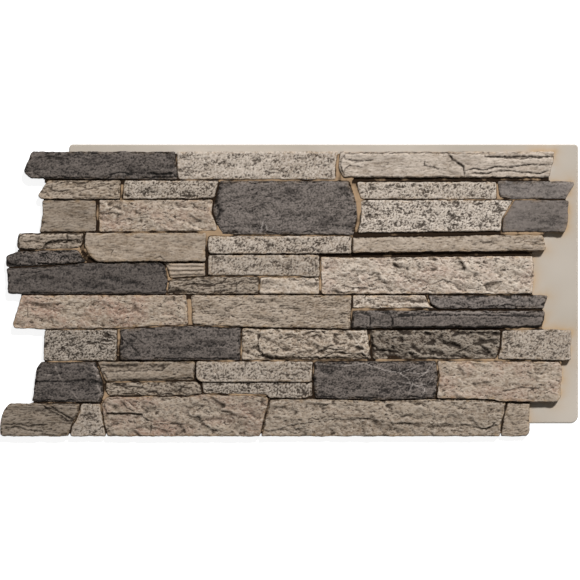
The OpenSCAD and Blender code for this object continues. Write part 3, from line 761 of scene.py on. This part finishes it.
stone("h3_split", SPLIT, 0.4, 0.5,
      [(231, 0), (560, 0), (579, 80), (572, 88), (437, 92), (410, 87), (236, 87), (226, 82), (219, 68),
       (223, 36)],
      layers=[(0.7, 0.8, [(229, 52), (300, 50), (295, 58), (270, 81), (236, 81), (227, 70)])],
      cracks=[([(226, 50), (304, 48), (315, 39), (330, 33)], 2.2, 3.0),
              ([(327, 33), (324, 7)], 1.5, 1.5),
              ([(257, 82), (274, 63), (292, 53)], 1.5, 1.5),
              ([(330, 27), (378, 28), (410, 26)], 1.5, 1.5)],
      pink=1.0, rough=1.1, tone=0.75)
stone("h4_split", SPLIT, 0.2, 0.3,
      [(561, 0), (1074, 0), (1079, 32), (1090, 75), (1056, 79), (936, 82), (818, 78), (676, 82), (650, 81),
       (580, 81)],
      layers=[(0.5, 0.6, [(568, 14), (594, 14), (622, 25), (666, 31), (720, 38), (784, 40), (838, 31),
                          (892, 29), (990, 27), (1022, 23), (1042, 18), (1059, 22), (1074, 30), (1084, 57),
                          (1084, 70), (1056, 74), (936, 77), (818, 73), (676, 77), (583, 76), (575, 42)])],
      cracks=[([(845, 29), (892, 27)], 1.6, 1.8),
              ([(1022, 20), (1045, 16), (1068, 33)], 2.2, 3.0)],
      fade=14, rough=1.1, tone=0.75)


# The joints are part of the same moulding: a rough bed between the stones, sprayed ochre like mortar
# where it is wide and darker near the stones where it is narrow, with painted shadow under higher stones.
# Only a strip along each joint is made, as the rest is under stones.
STRIP, STRIP_PITCH = 9.5, 2.4
JOINT_Z = 14.0
JOINT_DEPTH = 2.6  # below the lowest stone within BED_REACH
BED_REACH = 11.0
# Painted shadow darkens the bed where a stone within this reach, across and up, stands 3.5 mm or more above
# it.
SHADOW_REACH = (5.0, 7.0)  # across and up to the stones that shade a joint
TUCKED = 5.0  # how far the bed dips under the stones
CLOSED_CELLS = 5  # keeps the bed inside the face's outer rim
MARGIN = 14.0  # round a stone's box, past which it is not looked at
SPARE = 12.0
x, y = np.meshgrid(*(np.arange(-SPARE, size + SPARE, STRIP_PITCH) for size in FACE), indexing="ij")
inner = np.full(x.shape, -99.0)
bed = np.full(x.shape, 99.0)
shadow_caster = np.zeros(x.shape)
for ring, level_top, level_bottom in OUTLINES:
    low, high = ring.min(0) - MARGIN, ring.max(0) + MARGIN
    near = (x > low[0]) & (x < high[0]) & (y > low[1]) & (y < high[1])
    d = edge_distance(x[near], y[near], ring)
    inner[near] = np.maximum(inner[near], d)
    face = tilted(np.clip(y[near], low[1] + MARGIN, high[1] - MARGIN), ring, level_top, level_bottom)
    bed[near] = np.where(d > -BED_REACH, np.minimum(bed[near], face), bed[near])
    above = edge_distance(x[near] + SHADOW_REACH[0], y[near] + SHADOW_REACH[1], ring) > -SHADOW_REACH[0]
    shadow_caster[near] = np.where(above, np.maximum(shadow_caster[near], face), shadow_caster[near])
stones = inner > -STRIP
region = np.abs(inner) < STRIP
for i in range(-CLOSED_CELLS, CLOSED_CELLS + 1):
    for j in range(-CLOSED_CELLS, CLOSED_CELLS + 1):
        if i * i + j * j <= CLOSED_CELLS**2:
            region &= np.roll(stones, (i, j), (0, 1))
z = np.clip(bed, JOINT_Z, HIGH_FACE) - JOINT_DEPTH + 1.2 * fractal(x / 16, y / 16, 900, 3)
z += 0.5 * fractal(x / 4, y / 4, 901, 2) - TUCKED * step(0.5, 3.5, inner)
foot = np.where((x < REACH + 3) | (y < DROP + 3), LAP_Z, FLANGE_T - 1)
index = np.arange(x.size).reshape(x.shape)
cells = region[:-1, :-1] & region[1:, :-1] & region[1:, 1:] & region[:-1, 1:]
quads = np.stack([index[:-1, :-1], index[1:, :-1], index[1:, 1:], index[:-1, 1:]], -1)[cells]
used, quads = np.unique(quads, return_inverse=True)
quads = quads.reshape(-1, 4)
n = len(used)
edges = {tuple(edge) for k in range(4) for edge in quads[:, [k, (k + 1) % 4]].tolist()}
walls = [(b, a, a + n, b + n) for a, b in sorted(edges) if (b, a) not in edges]
points = np.stack([x.ravel()[used] - PANEL[0] / 2, y.ravel()[used] - PANEL[1] / 2], -1)
points = np.concatenate([np.column_stack([points, level.ravel()[used]]) for level in (z, foot)]) / 1000
mesh = bpy.data.meshes.new("joint_mortar")
mesh.from_pydata(points.tolist(), [], quads.tolist() + (quads[:, ::-1] + n).tolist() + walls)
# The spray reaches the open bed, which is darker within 2 mm of the stones; painted shadow darkens it
# where a higher stone stands above it or to its right, on the side away from the sun.
spray_less_painted_shadow = np.clip(-inner / 2, 0, 1) - 1.5 * step(3.5, 6, shadow_caster - z)
layer = mesh.attributes.new("spray_less_painted_shadow", "FLOAT", "POINT")
layer.data.foreach_set("value", np.tile(spray_less_painted_shadow.ravel()[used], 2))
mesh.shade_smooth()
mesh.set_sharp_from_angle(angle=CREASE_ANGLE)
mortar = bpy.data.objects.new("joint_mortar", mesh)
bpy.context.scene.collection.objects.link(mortar)

# Matt ochre coat, darker near the stones, with painted shadow under higher stones and dark patches.
material = bpy.data.materials.new("matt_ochre_joint_coat")
material.use_nodes = True
tree = material.node_tree
place = add(tree, "TexCoord")["Object"]
spray_less_painted_shadow = add(tree, "Attribute", attribute_name="spray_less_painted_shadow")["Fac"]
patch = add(tree, "TexNoise", {"Vector": place, "Scale": 28.0, "Detail": 3.0})["Fac"]
patch = add(tree, "MapRange", {"Value": patch, "From Min": 0.35, "From Max": 0.65,
                               "To Min": -0.9, "To Max": 0.8})[0]
sprayed = add(tree, "Math", {0: spray_less_painted_shadow, 1: patch}, operation="ADD", use_clamp=True)[0]
colour = add(tree, "Mix", {0: sprayed, 6: linear("#261b11"), 7: linear("#a2886c")}, data_type="RGBA")[2]
tree.links.new(colour, tree.nodes["Principled BSDF"].inputs["Base Color"])
tree.nodes["Principled BSDF"].inputs["Roughness"].default_value = 0.9
tree.nodes["Principled BSDF"].inputs["Specular IOR Level"].default_value = 0.1
mesh.materials.append(material)
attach(mortar, "root")
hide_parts("panel")

# The ochre spray has drifted a little way onto the flange past the right ends of the stones.
DRIFT = 10.0
DRIFT_FROM, DRIFT_FULL = 1050.0, 1200.0  # along the courses
points = np.zeros(3 * len(flange.data.vertices))
flange.data.vertices.foreach_get("co", points)
points = points.reshape(-1, 3)[:, :2] * 1000 + PANEL / 2
near = np.full(len(points), 99.0)
for ring, _, _ in OUTLINES:
    near = np.minimum(near, np.maximum(-edge_distance(points[:, 0], points[:, 1], ring), 0))
layer = flange.data.attributes.new("halo", "FLOAT", "POINT")
layer.data.foreach_set("value", np.exp(-near / DRIFT) * step(DRIFT_FROM, DRIFT_FULL, points[:, 0]))


# The panel lies on a white floor, lit from above its top edge, and the camera looks straight down on it.
FLOOR_HALF = 6.0
FLOOR_Z = -0.0005
mesh = bpy.data.meshes.new("floor")
corners = [(FLOOR_HALF * a, FLOOR_HALF * b, FLOOR_Z) for a, b in ((-1, -1), (1, -1), (1, 1), (-1, 1))]
mesh.from_pydata(corners, [], [(0, 1, 2, 3)])
floor = bpy.data.objects.new("floor", mesh)
bpy.context.scene.collection.objects.link(floor)
material = bpy.data.materials.new("white_floor")
material.use_nodes = True
world = bpy.data.worlds.new("world")
bpy.context.scene.world = world
world.use_nodes = True
for tree, node, socket, elsewhere, seen in (
        (material.node_tree, "Principled BSDF", "Emission Strength", 0.0, 0.88),
        (world.node_tree, "Background", "Strength", 0.09, 1.0)):
    ray = add(tree, "LightPath")
    shown = add(tree, "Math", {0: ray["Is Camera Ray"], 1: ray["Is Glossy Ray"]}, operation="ADD")[0]
    shown = add(tree, "Math", {0: shown, 1: ray["Is Transmission Ray"]}, operation="ADD")[0]
    level = add(tree, "MapRange", {"Value": shown, "To Min": elsewhere, "To Max": seen})[0]
    tree.links.new(level, tree.nodes[node].inputs[socket])
shader = material.node_tree.nodes["Principled BSDF"]
shader.inputs["Base Color"].default_value = linear("#c8c8c8")
shader.inputs["Roughness"].default_value = 1.0
shader.inputs["Specular IOR Level"].default_value = 0.0
shader.inputs["Emission Color"].default_value = linear("#ffffff")
world.node_tree.nodes["Background"].inputs["Color"].default_value = linear("#ffffff")
mesh.materials.append(material)
floor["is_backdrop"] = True

light = bpy.data.lights.new("key", "SUN")
light.energy = 3.8
light.angle = math.radians(6)
towards = Vector((-0.3, -0.56, -0.77))
sun = bpy.data.objects.new("key", light)
sun.rotation_euler = towards.to_track_quat("-Z", "Y").to_euler()
bpy.context.scene.collection.objects.link(sun)
sun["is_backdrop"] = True

# The frame is 1.249 m wide at the middle of the thickness, and its centre lies 1.4 mm right of the panel's.
VIEW_W = 1.249
VIEW_CENTRE = Vector((0.0014, 0, 0.012))
lens = bpy.data.cameras.new("camera")
lens.lens = 250
lens.sensor_width = 36
camera = bpy.data.objects.new("camera", lens)
camera.location = VIEW_CENTRE + Vector((0, 0, VIEW_W * lens.lens / lens.sensor_width))
bpy.context.scene.collection.objects.link(camera)
scene = bpy.context.scene
scene.camera = camera
scene.view_settings.view_transform = "Standard"

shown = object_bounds()
